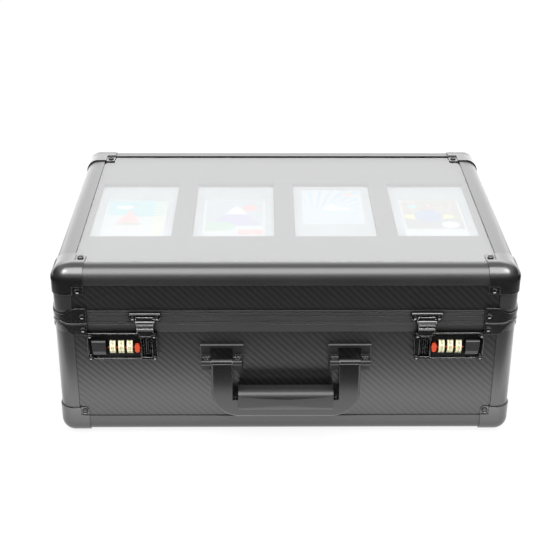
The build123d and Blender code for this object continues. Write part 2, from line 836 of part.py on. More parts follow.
def hasp_mount():
    """Plate riveted to the lid's rim, with two lobes, a bead along its top and two ears for the pin."""
    top = parting_height + mount_top_rise
    rivet_z = parting_height + mount_rivet_rise
    plate = block(
        hasp_x - mount_half_width, hasp_x + mount_half_width, -mount_plate, 0, top - mount_strip_height, top
    )
    for side in (-1, 1):
        lobe = Pos(hasp_x + side * mount_rivet_x, -mount_plate / 2, rivet_z) * Rot(90, 0, 0)
        plate += lobe * Cylinder(mount_lobe_radius, mount_plate)
        ear_x = hasp_x + side * (hasp_width / 2 + mount_ear_gap + mount_ear / 2)
        ear = rod(mount_ear_radius, mount_ear, ear_x, -hasp_axis_out, hasp_axis_z)
        ear += block(
            ear_x - mount_ear / 2,
            ear_x + mount_ear / 2,
            -hasp_axis_out,
            0,
            hasp_axis_z - mount_ear_radius,
            hasp_axis_z + mount_ear_radius,
        )
        plate += ear
    web_left, web_right = hasp_x - mount_rivet_x, hasp_x + mount_rivet_x
    plate += block(web_left, web_right, -mount_plate, 0, hasp_axis_z - mount_web_drop, rivet_z)
    bead_z = top - mount_bead_radius
    plate += rod(mount_bead_radius, 2 * mount_half_width, hasp_x, -mount_plate, bead_z)
    bore_length = hasp_width + 2 * (mount_ear_gap + mount_ear)
    return plate - rod(
        hasp_pin_radius + running_clearance, bore_length, hasp_x, -hasp_axis_out, hasp_axis_z
    )


def hasp_mount_rivets():
    """Rivet heads on the mount's lobes."""
    head = rivet(small_rivet_radius)
    rivet_z = parting_height + mount_rivet_rise
    return [
        facing((0, -1, 0), hasp_x + side * mount_rivet_x, -mount_plate, rivet_z) * head for side in (-1, 1)
    ]


def hasp_pin():
    """Pin of the hasp, flush with the mount's ears."""
    length = hasp_width + 2 * (mount_ear_gap + mount_ear)
    return rod(hasp_pin_radius, length, hasp_x, -hasp_axis_out, hasp_axis_z)


def left_of(shape):
    """The left-hand copy of a piece drawn on the right."""
    return mirror(shape, about=Plane.YZ)


right_pieces = {
    "lock": to_front * lock_housing(),
    "release_button": to_front * release_button(),
    "change_lever": to_front * change_lever(),
    "hasp": to_front * hasp(),
}
for index, x in enumerate(wheel_xs):
    right_pieces[f"number_wheel_{index + 1}"] = to_front * number_wheel(x)
for name, piece in right_pieces.items():
    nodes[f"{name}_right"] = [piece]
    nodes[f"{name}_left"] = [left_of(piece)]
nodes["lock_axles"] = left_and_right([to_front * lock_axle()])
nodes["hasp_mounts"] = left_and_right([to_front * hasp_mount()])
nodes["hasp_pins"] = left_and_right([to_front * hasp_pin()])
base_rivets += left_and_right([to_front * head for head in lock_rivets()])
lid_rivets += left_and_right([to_front * head for head in hasp_mount_rivets()])

# Handle

opening_half = handle_arm_width / 2 + handle_side_clearance
ear_middle = opening_half + ear_width / 2
ear_top = handle_axis_z + ear_seat


def handle_bracket():
    """Bracket on the front board: an arched plate with two ears for the pin."""
    plate_front = rail_wall - bracket_plate
    opening_top = bracket_top - bracket_bridge
    points = (
        (-bracket_half_top, bracket_top),
        (bracket_half_top, bracket_top),
        (bracket_half_bottom, bracket_bottom),
        (opening_half, bracket_bottom),
        (opening_half, opening_top),
        (-opening_half, opening_top),
        (-opening_half, bracket_bottom),
        (-bracket_half_bottom, bracket_bottom),
    )
    plate = front_outline(points, rail_wall, plate_front)
    plate = chamfer(plate.faces().sort_by(Axis.Y)[0].edges(), bracket_edge)
    side = Polygon(
        (plate_front + bracket_edge, ear_top),
        (-handle_axis_out, ear_top),
        (-handle_axis_out, handle_axis_z - ear_radius),
        (plate_front + bracket_edge, ear_root),
        align=None,
    )
    side += Pos(-handle_axis_out, handle_axis_z) * Circle(ear_radius)
    side &= Pos(-handle_axis_out, ear_top - handle_axis_out) * Rectangle(4 * handle_axis_out, 2 * handle_axis_out)
    for direction in (-1, 1):
        ear_left = direction * ear_middle - ear_width / 2
        plate += side_outline(side, ear_left, ear_width)
    bore_length = 2 * (opening_half + ear_width)
    return plate - rod(
        handle_pin_radius + running_clearance, bore_length, 0, -handle_axis_out, handle_axis_z
    )


def bracket_screws():
    """Slotted screw heads on top of both ears."""
    head = Cylinder(screw_radius, screw_height)
    head -= Pos(0, 0, screw_height / 2) * Box(2 * screw_radius, screw_slot, 2 * screw_slot_depth)
    return [
        Pos(direction * ear_middle, -screw_out, ear_top + screw_height / 2) * head for direction in (-1, 1)
    ]


def handle_frame():
    """Moulded frame of the handle: two arms with pin barrels, joined by a bar with round corners."""
    arm_outer = bracket_x + handle_arm_width / 2
    arm_inner = bracket_x - handle_arm_width / 2
    grip_half = grip_length / 2
    bar_top = handle_bottom + handle_bar_height
    seat = handle_bottom + handle_seat_height
    arm_top = handle_axis_z + handle_shoulder
    outer = Pos(0, (handle_bottom + arm_top) / 2) * Rectangle(2 * arm_outer, arm_top - handle_bottom)
    outer = fillet(outer.vertices().sort_by(Axis.Y)[:2], handle_corner_radius)
    opening = Polygon(
        (-arm_inner, arm_top),
        (-arm_inner, seat),
        (-grip_half, seat),
        (-grip_half, bar_top),
        (grip_half, bar_top),
        (grip_half, seat),
        (arm_inner, seat),
        (arm_inner, arm_top),
        align=None,
    )
    frame_plane = Plane(
        origin=(0, -handle_axis_out + handle_depth / 2, 0), x_dir=(1, 0, 0), z_dir=(0, -1, 0)
    )
    frame = extrude(frame_plane * outer, handle_depth)
    frame = chamfer(frame.faces().filter_by(Axis.Y).edges(), handle_edge)
    frame -= extrude(frame_plane * opening, handle_depth)
    for direction in (-1, 1):
        x = direction * bracket_x
        frame += rod(handle_barrel_radius, handle_arm_width, x, -handle_axis_out, handle_axis_z)
        frame -= rod(
            handle_pin_radius + running_clearance, handle_arm_width, x, -handle_axis_out, handle_axis_z
        )
    return frame


def handle_grip():
    """Grip that sits on the bar between the arms, fuller in the middle of its length."""
    bottom = handle_bottom + handle_bar_height
    half, side = grip_length / 2, grip_depth / 2
    full = side + grip_swell / 2
    section_plane = Plane(
        origin=(-half, -grip_out, bottom + grip_height / 2), x_dir=(0, 1, 0), z_dir=(1, 0, 0)
    )
    body = extrude(section_plane * RectangleRounded(2 * full, grip_height, grip_radius), grip_length)
    outline = ThreePointArc((-half, -side), (0, -full), (half, -side)).edges()
    outline += Line((half, -side), (half, side)).edges()
    outline += ThreePointArc((half, side), (0, full), (-half, side)).edges()
    outline += Line((-half, side), (-half, -side)).edges()
    return body & extrude(Pos(0, -grip_out, bottom) * make_face(outline), grip_height)


def grip_screws():
    """Screw heads on the seats beside the grip."""
    x = (grip_length + grip_seat) / 2
    z = handle_bottom + handle_seat_height + grip_screw_height / 2
    return left_and_right([Pos(x, -handle_axis_out, z) * Cylinder(grip_screw_radius, grip_screw_height)])


to_bracket = to_front * Pos(bracket_x, 0, 0)
bracket = to_bracket * handle_bracket()
nodes["handle_bracket_right"] = [bracket]
nodes["handle_bracket_left"] = [left_of(bracket)]
nodes["bracket_screws"] = left_and_right([to_bracket * screw for screw in bracket_screws()])
pin_length = 2 * (opening_half + ear_width)
handle_pin = rod(handle_pin_radius, pin_length, bracket_x, -half_depth - handle_axis_out, handle_axis_z)
nodes["handle_pins"] = left_and_right([handle_pin])
nodes["handle_frame"] = [to_front * handle_frame()]
nodes["handle_grip"] = [to_front * handle_grip()]
nodes["grip_screws"] = [to_front * screw for screw in grip_screws()]

# Hinges, drawn with the case's rear face at y 0 and the parting plane at z 0

knuckle_length = hinge_length / 3


def hinge_leaf_piece(leaf_height, knuckle_middles, length):
    """Leaf that stands up from the pin, with its knuckles."""
    half = hinge_length / 2
    leaf = block(-half, half, 0, hinge_leaf, hinge_leaf_root, leaf_height)
    for x in knuckle_middles:
        leaf += block(x - length / 2, x + length / 2, 0, hinge_leaf, hinge_gap, hinge_leaf_root)
        leaf += rod(hinge_barrel_radius, length, x, hinge_axis_out, 0)
    return leaf - rod(hinge_pin_radius + running_clearance, hinge_length, 0, hinge_axis_out, 0)


def hinge_rivets(z):
    """Three rivet heads in a row on a leaf."""
    head = rivet(small_rivet_radius)
    return [facing((0, 1, 0), index * hinge_rivet_pitch, hinge_leaf, z) * head for index in (-1, 0, 1)]


to_hinge = to_rear * Pos(hinge_x, 0, parting_height)
lid_leaf = hinge_leaf_piece(hinge_lid_leaf_height, [0], knuckle_length - 2 * hinge_gap)
base_leaf = mirror(
    hinge_leaf_piece(
        hinge_base_leaf_height,
        [-knuckle_length - hinge_gap / 2, knuckle_length + hinge_gap / 2],
        knuckle_length - hinge_gap,
    ),
    about=Plane.XY,
)
nodes["hinge_lid_leaves"] = left_and_right([to_hinge * lid_leaf])
nodes["hinge_base_leaves"] = left_and_right([to_hinge * base_leaf])
nodes["hinge_pins"] = left_and_right([to_hinge * rod(hinge_pin_radius, hinge_length, 0, hinge_axis_out, 0)])
lid_leaf_middle = (hinge_leaf_root + hinge_lid_leaf_height) / 2
base_leaf_middle = -(hinge_leaf_root + hinge_base_leaf_height) / 2
lid_rivets += left_and_right([to_hinge * head for head in hinge_rivets(lid_leaf_middle)])
base_rivets += left_and_right([to_hinge * head for head in hinge_rivets(base_leaf_middle)])
nodes["base_rivets"] = base_rivets
nodes["lid_rivets"] = lid_rivets

# Foam, card holders and cards

holder_xs = [(index - (holder_count - 1) / 2) * holder_pitch for index in range(holder_count)]
holder_top = pane_bottom - holder_below_pane
holder_seam = holder_top - holder_cover
holder_bottom = holder_seam - holder_back
tray_top = pane_bottom - pane_clearance - rail_fin - foam_clearance
tray_bottom = tray_top - tray_height


def holder_plate(x, bottom, top, grow):
    """Rounded plate of a card holder's outline."""
    outline = RectangleRounded(holder_width + 2 * grow, holder_length + 2 * grow, holder_corner)
    return extrude(Pos(x, 0, bottom) * outline, top - bottom)


tray = block(-foam_half_width, foam_half_width, -foam_half_depth, foam_half_depth, tray_bottom, tray_top)
card_room = Box(
    card_width + 2 * card_pocket_clearance,
    card_length + 2 * card_pocket_clearance,
    2 * (card_thickness + joint_clearance),
)
backs = []
covers = []
cards = []
for index, x in enumerate(holder_xs):
    card_y = card_shift if index == turned_holder else -card_shift
    tray -= holder_plate(x, holder_bottom, tray_top, holder_clearance)
    backs.append(holder_plate(x, holder_bottom, holder_seam, 0) - Pos(x, card_y, holder_seam) * card_room)
    covers.append(holder_plate(x, holder_seam, holder_top, 0))
    card_bottom = holder_seam - card_thickness - joint_clearance
    cards.append(Pos(x, card_y, card_bottom + card_thickness / 2) * Box(card_width, card_length, card_thickness))
nodes["display_tray"] = [tray]
nodes["holder_backs"] = backs
nodes["holder_covers"] = covers
nodes["display_cards"] = cards

pad_bottom = frame_inset
pad_top = pad_bottom + floor_pad
row_half = row_length / 2
nodes["foam_floor_pad"] = [
    block(-foam_half_width, foam_half_width, -foam_half_depth, foam_half_depth, pad_bottom, pad_top)
]
front_strip = block(-foam_half_width, foam_half_width, -foam_half_depth, -row_half, pad_top, foam_top)
front_corners = front_strip.edges().filter_by(Axis.Z).sort_by(Axis.Y)[:2]
front_strip = fillet(front_corners, edge_radius - frame_inset)
rear_strip = mirror(front_strip, about=Plane.XZ)
lock_pocket = block(
    latch_x - lock_case_width / 2 - lock_pocket_clearance,
    latch_x + lock_case_width / 2 + lock_pocket_clearance,
    0,
    rail_wall + lock_case_depth + lock_pocket_clearance,
    latch_z - lock_case_height / 2 - lock_pocket_clearance,
    latch_z + lock_case_height / 2 + lock_pocket_clearance,
)
for pocket in left_and_right([to_front * lock_pocket]):
    front_strip -= pocket
nodes["foam_end_strips"] = [front_strip, rear_strip]
row_edges = [-foam_half_width]
for x in holder_xs:
    row_edges += [x - row_width / 2, x + row_width / 2]
row_edges.append(foam_half_width)
nodes["foam_row_dividers"] = [
    block(left, right, -row_half, row_half, pad_top, foam_top)
    for left, right in zip(row_edges[::2], row_edges[1::2])
]

# Write one file for each node

for name, shapes in nodes.items():
    solids = [final_origin * solid for shape in shapes for solid in shape.solids()]
    export_step(solids[0] if len(solids) == 1 else Compound(children=solids), f"parts/{name}.step")
print(len(nodes), "nodes, moved by", final_origin.position)
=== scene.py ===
import math

import bmesh
import bpy
from mathutils import Matrix, Vector


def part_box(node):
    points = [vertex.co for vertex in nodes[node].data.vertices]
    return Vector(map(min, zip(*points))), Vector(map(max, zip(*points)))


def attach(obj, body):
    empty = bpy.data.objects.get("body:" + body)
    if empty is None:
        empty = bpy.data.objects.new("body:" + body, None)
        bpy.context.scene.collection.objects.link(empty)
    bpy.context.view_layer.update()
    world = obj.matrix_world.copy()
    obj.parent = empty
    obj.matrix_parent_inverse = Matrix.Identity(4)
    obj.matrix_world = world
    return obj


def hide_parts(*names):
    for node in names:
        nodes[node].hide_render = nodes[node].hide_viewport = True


# The look of the card case: materials, printed cards, foam, digits, floor, lights and camera. Metres.

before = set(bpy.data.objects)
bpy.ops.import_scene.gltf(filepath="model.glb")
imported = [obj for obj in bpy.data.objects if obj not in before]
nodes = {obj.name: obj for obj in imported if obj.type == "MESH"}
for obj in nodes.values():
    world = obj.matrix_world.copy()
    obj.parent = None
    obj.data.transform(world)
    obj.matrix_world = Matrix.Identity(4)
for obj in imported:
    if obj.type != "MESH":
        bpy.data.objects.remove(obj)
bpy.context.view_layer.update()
cards_low, cards_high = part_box("display_cards")
case_y = (cards_low.y + cards_high.y) / 2

# Measures that the solids don't name. A span of the case is its axis, its middle and half its length

sides = ("left", "right")
signed_sides = ((-1, "left"), (1, "right"))
case_spans = (("X", 0.0, 0.2177), ("Y", case_y, 0.1557))
window_rail_leg = 0.0195
holder_pitch = 0.1018
holder_count = 4
turned_holder = 2
card_shift = 0.014
wheel_radius = 0.0075
wheel_faces = 10
wheels_per_lock = 3
field_front = -0.150175

# Surfaces

noise_roughness = 0.55
mark_scale = 18
mark_share = 0.4
edge_samples = 4
# Range of edge levels over which the painted edge highlight fades in
edge_highlight_normal = (0.99, 0.80)
# Range of ambient occlusion over which the painted shade in hollows fades in
open_share = (0.55, 0.95)
flat_leg = 0.0075
crown = 0.35
rib_pitch = 0.0071
rib_height = 0.42
thread_pitch = 0.0024
thread_height = 0.06
foam_pore_scale = 1400
printed_half = (0.0295, 0.0422)
ray_count = 40

# Rivet heads, foam, digits and index lines. The head's outline runs from its middle outwards, in shares
# of its radius and height

weld_reach = 1e-6
level_tolerance = 1e-5
head_segments = 24
head_hollow_rings = 4
head_outline = (
    (0.0, 0.04), (0.34, 0.10), (0.58, 0.28), (0.74, 0.62),
    (0.86, 1.0), (0.94, 1.0), (1.0, 0.8), (1.0, 0.0),
)
foam_edge = 0.001
tray_edge = 0.0012
foam_edge_segments = 3
nearly_flat = math.radians(4)
sharp_edge = 0.7
digit_height = 0.0054
digit_curve_steps = 2
digit_lift = 0.00003
index_line_reach = (0.137, 0.168)
index_line_height = (0.0995, 0.1009)

# Floor, room and lights: levels are given as (place, level) stops

floor_size = 4
floor_steps = 8
# Where the floor's painted reflection glow turns full behind the case
floor_behind = (0.35, 0.6)
floor_white_share = 0.88
# Painted reflection: the floor glows for glossy rays only, by distance from the case, as (place, level)
# stops
mirrored_floor = (
    (0.0, 0.45), (0.12, 0.66), (0.24, 1.0), (0.42, 0.85), (0.50, 0.15), (0.68, 0.04), (1.0, 0.015)
)
mirrored_floor_reach = 0.25
mirrored_floor_sideways = 0.5
mirrored_floor_level = 2.35
front_wall = ((0.0, 0.04), (0.18, 0.08), (0.5, 0.7), (0.70, 1.0), (0.95, 0.7))
side_walls = ((0.0, 0.12), (0.35, 0.2), (0.6, 0.8), (0.95, 0.7))
side_wall_directions = (-0.6, -0.3)
backdrop = ((0.0, 1.9), (0.30, 1.9), (0.357, 2.2), (0.438, 3.06), (0.60, 3.2), (0.80, 0.8))
backdrop_directions = (0.35, 0.7)
room_level = 1.2
overhead_level = 4.3
side_box_level = 6.5

# Camera at the photo's viewing angle: pitch, yaw and roll in degrees, lens and sensor in millimetres

camera_place = (-0.01962, -1.145775, 0.67549)
camera_degrees = (26.86, -0.79, 0.30)
camera_lens = 78.114
sensor_width = 36


# Materials


def new_material(name):
    """Empty node material with its output and a Principled shader."""
    made = bpy.data.materials.new(name)
    made.use_nodes = True
    tree = made.node_tree
    tree.nodes.clear()
    output = tree.nodes.new("ShaderNodeOutputMaterial")
    shader = tree.nodes.new("ShaderNodeBsdfPrincipled")
    tree.links.new(shader.outputs["BSDF"], output.inputs["Surface"])
    return made, tree, shader, output


def object_place(tree, scale=(1, 1, 1)):
    """The place on the piece, scaled."""
    coordinates = tree.nodes.new("ShaderNodeTexCoord")
    mapping = tree.nodes.new("ShaderNodeMapping")
    mapping.inputs["Scale"].default_value = scale
    tree.links.new(coordinates.outputs["Object"], mapping.inputs["Vector"])
    return mapping.outputs["Vector"]


def noise(tree, place, scale, detail):
    """Noise between 0 and 1."""
    texture = tree.nodes.new("ShaderNodeTexNoise")
    texture.inputs["Scale"].default_value = scale
    texture.inputs["Detail"].default_value = detail
    texture.inputs["Roughness"].default_value = noise_roughness
    tree.links.new(place, texture.inputs["Vector"])
    return texture.outputs["Fac"]


def ramp(tree, factor, stops):
    """Colours along a factor, as (place, grey or colour) stops."""
    node = tree.nodes.new("ShaderNodeValToRGB")
    elements = node.color_ramp.elements
    while len(elements) < len(stops):
        elements.new(0.5)
    for element, (at, value) in zip(elements, stops):
        element.position = at
        colour = value if hasattr(value, "__len__") else (value, value, value)
        element.color = (*colour, 1)
    tree.links.new(factor, node.inputs["Fac"])
    return node.outputs["Color"]


def between(tree, factor, low, high, start=0.0, end=1.0):
    """Number that goes from low to high while the factor goes from start to end."""
    node = tree.nodes.new("ShaderNodeMapRange")
    node.inputs["From Min"].default_value = start
    node.inputs["From Max"].default_value = end
    node.inputs["To Min"].default_value = low
    node.inputs["To Max"].default_value = high
    tree.links.new(factor, node.inputs["Value"])
    return node.outputs["Result"]


def maths(tree, operation, first, second=0):
    """Result of a sum on sockets or numbers."""
    node = tree.nodes.new("ShaderNodeMath")
    node.operation = operation
    for socket, value in zip(node.inputs, (first, second)):
        if isinstance(value, (int, float)):
            socket.default_value = value
        else:
            tree.links.new(value, socket)
    return node.outputs["Value"]


def weighed(tree, first, second, share):
    """Sum of two values, with the second given this share of the whole."""
    rest = maths(tree, "MULTIPLY", first, 1 - share)
    return maths(tree, "ADD", rest, maths(tree, "MULTIPLY", second, share))


def vector_maths(tree, operation, first, second=(0, 0, 0)):
    """Result of a sum on vectors."""
    node = tree.nodes.new("ShaderNodeVectorMath")
    node.operation = operation
    for socket, value in zip(node.inputs, (first, second)):
        if isinstance(value, tuple):
            socket.default_value = value
        else:
            tree.links.new(value, socket)
    return node.outputs["Value" if operation in ("DOT_PRODUCT", "LENGTH") else "Vector"]


def parts_of(tree, vector):
    """The X, Y and Z outputs of a vector."""
    node = tree.nodes.new("ShaderNodeSeparateXYZ")
    tree.links.new(vector, node.inputs["Vector"])
    return node.outputs


def rounded_edges(tree, radius):
    """Normal of the surface with its edges softened."""
    node = tree.nodes.new("ShaderNodeBevel")
    node.samples = edge_samples
    node.inputs["Radius"].default_value = radius
    return node.outputs["Normal"]


def crowned(tree, normal):
    """Normal that leans more and more outwards on the flat leg of the upper rails."""
    place = parts_of(tree, object_place(tree))
    lean = tree.nodes.new("ShaderNodeCombineXYZ")
    for axis, middle, half in case_spans:
        from_middle = maths(tree, "SUBTRACT", place[axis], middle)
        outward = maths(tree, "SIGN", from_middle)
        distance = maths(tree, "ABSOLUTE", from_middle)
        past_window = maths(tree, "SUBTRACT", distance, half - window_rail_leg)
        rise = between(tree, maths(tree, "DIVIDE", past_window, flat_leg), 0.0, crown)
        tree.links.new(maths(tree, "MULTIPLY", rise, outward), lean.inputs[axis])
    upward = maths(tree, "MAXIMUM", parts_of(tree, normal)["Z"], 0.0)
    share = tree.nodes.new("ShaderNodeVectorMath")
    share.operation = "SCALE"
    tree.links.new(lean.outputs["Vector"], share.inputs[0])
    tree.links.new(upward, share.inputs["Scale"])
    leant = vector_maths(tree, "ADD", normal, share.outputs["Vector"])
    return vector_maths(tree, "NORMALIZE", leant)


def bump(tree, shader, height, distance, strength, normal=None):
    """Relief on the shader's surface, on top of a changed normal where one is given."""
    node = tree.nodes.new("ShaderNodeBump")
    node.inputs["Distance"].default_value = distance
    node.inputs["Strength"].default_value = strength
    tree.links.new(height, node.inputs["Height"])
    if normal:
        tree.links.new(normal, node.inputs["Normal"])
    tree.links.new(node.outputs["Normal"], shader.inputs["Normal"])


def mixed(tree, share, first, second):
    """Colour that goes from the first to the second with the share; either can be a level.

    The colour sockets share their names with others of the node, so they are reached by number.
    """
    node = tree.nodes.new("ShaderNodeMix")
    node.data_type = "RGBA"
    tree.links.new(share, node.inputs[0])
    for socket, value in ((node.inputs[6], first), (node.inputs[7], second)):
        if isinstance(value, (int, float)):
            socket.default_value = (value, value, value, 1)
        elif isinstance(value, tuple):
            socket.default_value = (*value, 1)
        else:
            tree.links.new(value, socket)
    return node.outputs[2]


def mixed_shader(tree, share, first, second):
    """Shader that goes from the first to the second with the share, a socket or a number."""
    node = tree.nodes.new("ShaderNodeMixShader")
    if isinstance(share, float):
        node.inputs["Fac"].default_value = share
    else:
        tree.links.new(share, node.inputs["Fac"])
    tree.links.new(first, node.inputs[1])
    tree.links.new(second, node.inputs[2])
    return node.outputs["Shader"]


def finish_surface(
    name, dark, light, rough, grain, relief, metallic=0.0, shine=0.5, refraction=1.5, edge=0.0,
    edge_highlight=0.0, hollow=0.0, domed=False, stretch=(1, 1, 1)
):
    """Surface with a fine grain and broad handling marks.

    Edges are softened within edge, and their colour is lifted to a given level as a painted highlight
    that also stands for worn edges. Hollows narrower than hollow get painted shade: dark and dull. Domed
    surfaces bulge over the flat leg of the upper rails.
    """
    made, tree, shader, _ = new_material(name)
    fine = noise(tree, object_place(tree, stretch), grain, 4)
    marks = noise(tree, object_place(tree), mark_scale, 2)
    tone = weighed(tree, fine, marks, mark_share)
    colour = ramp(tree, tone, [(0.3, dark), (0.7, light)])
    normal = rounded_edges(tree, edge) if edge else None
    # Painted highlight: edge colour is lifted towards a light level where the softened normal turns
    # away, for worn edges catching light
    if edge_highlight:
        surface = tree.nodes.new("ShaderNodeNewGeometry")
        level = vector_maths(tree, "DOT_PRODUCT", normal, surface.outputs["Normal"])
        painted_edge_highlight = between(tree, level, 0.0, 1.0, *edge_highlight_normal)
        colour = mixed(tree, painted_edge_highlight, colour, edge_highlight)
    shader.inputs["Metallic"].default_value = metallic
    shader.inputs["Specular IOR Level"].default_value = shine
    shader.inputs["IOR"].default_value = refraction
    # Painted shade: ambient occlusion darkens the colour and dulls the shine in hollows, grooves and
    # gaps
    if hollow:
        shadow = tree.nodes.new("ShaderNodeAmbientOcclusion")
        shadow.samples = edge_samples
        shadow.inputs["Distance"].default_value = hollow
        openness = between(tree, shadow.outputs["AO"], 0.0, 1.0, *open_share)
        colour = mixed(tree, openness, 0.0, colour)
        open_shine = maths(tree, "MULTIPLY", openness, shine)
        tree.links.new(open_shine, shader.inputs["Specular IOR Level"])
    tree.links.new(colour, shader.inputs["Base Color"])
    tree.links.new(between(tree, tone, *rough), shader.inputs["Roughness"])
    if domed:
        normal = crowned(tree, normal)
    bump(tree, shader, fine, relief, 0.5, normal)
    return made


def striped_board(name, axes):
    """Laminate with slanted ribs, drawn on the plane of the two axes."""
    made, tree, shader, _ = new_material(name)
    place = object_place(tree)
    parts = parts_of(tree, place)
    along = maths(tree, "ADD", parts[axes[0]], parts[axes[1]])
    across = maths(tree, "SUBTRACT", parts[axes[0]], parts[axes[1]])
    wave = maths(tree, "SINE", maths(tree, "MULTIPLY", along, 2 * math.pi / rib_pitch))
    thread = maths(tree, "SINE", maths(tree, "MULTIPLY", across, 2 * math.pi / thread_pitch))
    ribs = maths(tree, "MULTIPLY", wave, rib_height)
    threads = maths(tree, "MULTIPLY", thread, thread_height)
    height = maths(tree, "ADD", maths(tree, "ADD", ribs, threads), 0.5)
    tone = weighed(tree, height, noise(tree, place, 900, 4), 0.2)
    tree.links.new(ramp(tree, tone, [(0.15, 0.0005), (0.85, 0.0125)]), shader.inputs["Base Color"])
    tree.links.new(between(tree, tone, 0.38, 0.30), shader.inputs["Roughness"])
    shader.inputs["Specular IOR Level"].default_value = 1.0
    bump(tree, shader, height, 0.00012, 0.6)
    return made


def clear_plastic(name, refraction, rough, tint, shine_share, milk=0.0):
    """Clear sheet: what is behind it shows straight through, under the shine of both its faces."""
    made, tree, shader, output = new_material(name)
    tree.nodes.remove(shader)
    through = tree.nodes.new("ShaderNodeBsdfTransparent")
    through.inputs["Color"].default_value = (*tint, 1)
    haze = tree.nodes.new("ShaderNodeBsdfDiffuse")
    haze.inputs["Color"].default_value = (0.8, 0.82, 0.84, 1)
    shine = tree.nodes.new("ShaderNodeBsdfGlossy")
    smear = noise(tree, object_place(tree), 35, 3)
    tree.links.new(between(tree, smear, rough * 0.7, rough * 1.3), shine.inputs["Roughness"])
    cloud = between(tree, smear, milk * 0.8, milk * 1.2)
    body = mixed_shader(tree, cloud, through.outputs["BSDF"], haze.outputs["BSDF"])
    amount = tree.nodes.new("ShaderNodeFresnel")
    amount.inputs["IOR"].default_value = refraction
    surface = tree.nodes.new("ShaderNodeNewGeometry")
    outer = maths(tree, "SUBTRACT", 1.0, surface.outputs["Backfacing"])
    outer_amount = maths(tree, "MULTIPLY", amount.outputs["Fac"], outer)
    shining = maths(tree, "MULTIPLY", outer_amount, shine_share)
    shown = mixed_shader(tree, shining, body, shine.outputs["BSDF"])
    tree.links.new(shown, output.inputs["Surface"])
    return made


def foam_surface(name, dark, light):
    """Closed-cell foam with fine pores."""
    made, tree, shader, _ = new_material(name)
    place = object_place(tree)
    cells = tree.nodes.new("ShaderNodeTexVoronoi")
    cells.inputs["Scale"].default_value = foam_pore_scale
    tree.links.new(place, cells.inputs["Vector"])
    tone = weighed(tree, cells.outputs["Distance"], noise(tree, place, 60, 4), mark_share)
    tree.links.new(ramp(tree, tone, [(0.1, dark), (0.8, light)]), shader.inputs["Base Color"])
    shader.inputs["Roughness"].default_value = 0.9
    shader.inputs["Sheen Weight"].default_value = 0.15
    bump(tree, shader, tone, 0.0004, 0.7)
    return made


rail_black = finish_surface(
    "rail_black", 0.014, 0.023, (0.26, 0.34), 700, 0.00003,
    shine=1.0, edge=0.0004, edge_highlight=0.05, domed=True
)
rim_black = finish_surface(
    "rim_black", 0.010, 0.018, (0.30, 0.38), 700, 0.00003,
    shine=1.0, refraction=1.75, edge=0.0003, hollow=0.004
)
cap_black = finish_surface(
    "cap_black", 0.004, 0.008, (0.18, 0.26), 260, 0.00002,
    shine=1.0, refraction=1.6, edge=0.0006, edge_highlight=0.06, domed=True
)
lock_black = finish_surface(
    "lock_black", 0.06, 0.09, (0.16, 0.24), 300, 0.00002,
    metallic=1.0, edge=0.0005, edge_highlight=0.45, hollow=0.003
)
hasp_black = finish_surface(
    "hasp_black", 0.12, 0.18, (0.16, 0.24), 300, 0.00002,
    metallic=1.0, edge=0.0005, edge_highlight=0.75
)
rivet_black = finish_surface(
    "rivet_black", 0.07, 0.12, (0.16, 0.24), 500, 0.00002, metallic=1.0
)
handle_black = finish_surface(
    "handle_black", 0.004, 0.008, (0.12, 0.18), 220, 0.00002,
    shine=0.65, edge=0.0008, edge_highlight=0.06
)
grip_black = finish_surface(
    "grip_black", 0.010, 0.018, (0.3, 0.4), 1600, 0.00006, shine=0.65, edge=0.0006
)
satin_black = finish_surface(
    "satin_black", 0.008, 0.014, (0.34, 0.42), 300, 0.00002, shine=0.6, edge=0.0005
)
screw_black = finish_surface(
    "screw_black", 0.16, 0.26, (0.2, 0.3), 900, 0.00003, metallic=1.0, edge=0.0004
)
pin_steel = finish_surface(
    "pin_steel", 0.35, 0.5, (0.25, 0.38), 900, 0.00003, metallic=1.0, stretch=(0.05, 1, 1)
)
foot_rubber = finish_surface("foot_rubber", 0.015, 0.03, (0.6, 0.75), 900, 0.00005)
wheel_cream = finish_surface(
    "wheel_cream", (0.58, 0.54, 0.33), (0.68, 0.65, 0.43), (0.2, 0.32), 700, 0.00002
)
lever_red = finish_surface(
    "lever_red", (0.42, 0.045, 0.012), (0.50, 0.06, 0.018), (0.2, 0.3), 700, 0.00002
)
digit_ink = finish_surface(
    "digit_ink", (0.05, 0.045, 0.03), (0.08, 0.07, 0.05), (0.3, 0.4), 900, 0.00001
)
window_clear = clear_plastic("window_clear", 1.49, 0.03, (0.80, 0.805, 0.81), 1.8)
holder_cover_clear = clear_plastic("holder_cover_clear", 1.49, 0.08, (0.95, 0.96, 0.96), 0.3)
holder_back_clear = clear_plastic("holder_back_clear", 1.49, 0.10, (0.93, 0.94, 0.95), 0.2, 0.7)
foam_dark = foam_surface("foam_dark", 0.03, 0.07)
tray_grey = foam_surface("tray_grey", 0.07, 0.08)
boards = {
    "front": striped_board("board_front", ("X", "Z")),
    "side": striped_board("board_side", ("Y", "Z")),
    "level": striped_board("board_level", ("X", "Y")),
}


# Printed cards: made-up pictures, each drawn in metres from its card's own middle


def card_place(tree, middle):
    """Place on a card, from its middle."""
    coordinates = tree.nodes.new("ShaderNodeTexCoord")
    return vector_maths(tree, "SUBTRACT", coordinates.outputs["Object"], (*middle, 0))


def disc(tree, place, centre, reach):
    """1 inside an ellipse with the given half width and half height."""
    from_centre = vector_maths(tree, "SUBTRACT", place, (*centre, 0))
    scaled = vector_maths(tree, "MULTIPLY", from_centre, (1 / reach[0], 1 / reach[1], 0))
    return maths(tree, "LESS_THAN", vector_maths(tree, "LENGTH", scaled), 1.0)


